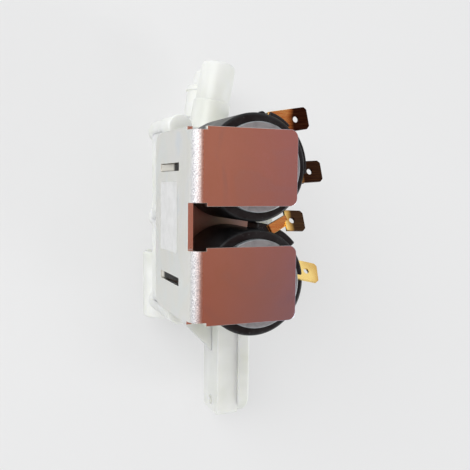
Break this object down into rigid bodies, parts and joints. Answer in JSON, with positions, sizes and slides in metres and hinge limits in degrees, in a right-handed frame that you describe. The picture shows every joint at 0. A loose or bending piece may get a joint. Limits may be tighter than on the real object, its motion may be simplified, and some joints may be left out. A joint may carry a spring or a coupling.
{
  "type": "washing machine inlet valve",
  "caption": "Water inlet valve with a threaded inlet, mounting flange, outlet spigots, moulded solenoid coils in a folded zinc yoke and push-on tabs.",
  "frame": {"origin": "centre of the inlet mouth, on the axis of the inlet thread", "axes": "+X out of the inlet, +Y along the outlets, +Z along the coils, away from the water side"},
  "size_m": [0.0561, 0.1299, 0.0822],
  "materials": {
    "zinc_yoke": "zinc plated with a faint yellow and blue passivation",
    "zinc_plate": "zinc plated sheet",
    "label_paper": "blank white paper label",
    "body_nylon": "natural, slightly translucent moulded nylon",
    "cover_nylon": "natural, slightly translucent moulded nylon",
    "screw_steel": "zinc plated",
    "filter_nylon": "amber mesh moulding",
    "regulator_rubber": "black rubber",
    "holder_nylon": "natural nylon",
    "coil_moulding": "black moulding compound, satin",
    "bobbin_nylon": "natural nylon",
    "copper_winding": "enamelled copper wire",
    "pole_steel": "turned steel with a light plating",
    "sleeve_steel": "rolled steel",
    "terminal_brass": "bare brass, tarnished in places",
    "plunger_steel": "ground magnetic stainless steel",
    "seal_rubber": "black rubber",
    "spring_steel": "stainless spring wire",
    "diaphragm_rubber": "black rubber",
    "core_nylon": "hard nylon"
  },
  "bodies": {
    "valve": {"yoke": "zinc_yoke", "yoke_base_plate": "zinc_plate", "rating_label": "label_paper", "valve_body": "body_nylon", "valve_cover": "cover_nylon", "cover_screws": "screw_steel", "inlet_filter": "filter_nylon", "flow_regulator": "regulator_rubber", "regulator_holder": "holder_nylon", "upper_coil_shell": "coil_moulding", "upper_bobbin": "bobbin_nylon", "upper_winding": "copper_winding", "upper_pole_disc": "pole_steel", "upper_pole_sleeve": "sleeve_steel", "upper_terminal_top": "terminal_brass", "upper_terminal_side": "terminal_brass", "upper_plunger_spring": "spring_steel", "upper_diaphragm": "diaphragm_rubber", "lower_coil_shell": "coil_moulding", "lower_bobbin": "bobbin_nylon", "lower_winding": "copper_winding", "lower_pole_disc": "pole_steel", "lower_pole_sleeve": "sleeve_steel", "lower_terminal_top": "terminal_brass", "lower_terminal_side": "terminal_brass", "lower_plunger_spring": "spring_steel", "lower_diaphragm": "diaphragm_rubber"},
    "upper_armature": {"upper_plunger": "plunger_steel", "upper_plunger_seal": "seal_rubber"},
    "upper_disc": {"upper_diaphragm_core": "core_nylon"},
    "lower_armature": {"lower_plunger": "plunger_steel", "lower_plunger_seal": "seal_rubber"},
    "lower_disc": {"lower_diaphragm_core": "core_nylon"}
  },
  "joints": [
    {"name": "upper_plunger_slide", "type": "slide", "parent": "valve", "child": "upper_armature", "axis": [0, 0, 1], "range_m": [0, 0.0022], "stiffness_N_per_m": 120, "springref_m": -0.004, "deforming": ["upper_plunger_spring"]},
    {"name": "upper_diaphragm_lift", "type": "slide", "parent": "valve", "child": "upper_disc", "axis": [0, 0, 1], "range_m": [0, 0.00165], "deforming": ["upper_diaphragm"]},
    {"name": "lower_plunger_slide", "type": "slide", "parent": "valve", "child": "lower_armature", "axis": [0, 0, 1], "range_m": [0, 0.0022], "stiffness_N_per_m": 120, "springref_m": -0.004, "deforming": ["lower_plunger_spring"]},
    {"name": "lower_diaphragm_lift", "type": "slide", "parent": "valve", "child": "lower_disc", "axis": [0, 0, 1], "range_m": [0, 0.00165], "deforming": ["lower_diaphragm"]}
  ],
  "couplings": [
    {"joint": "upper_diaphragm_lift", "follows": "upper_plunger_slide", "ratio": 0.75},
    {"joint": "lower_diaphragm_lift", "follows": "lower_plunger_slide", "ratio": 0.75}
  ]
}
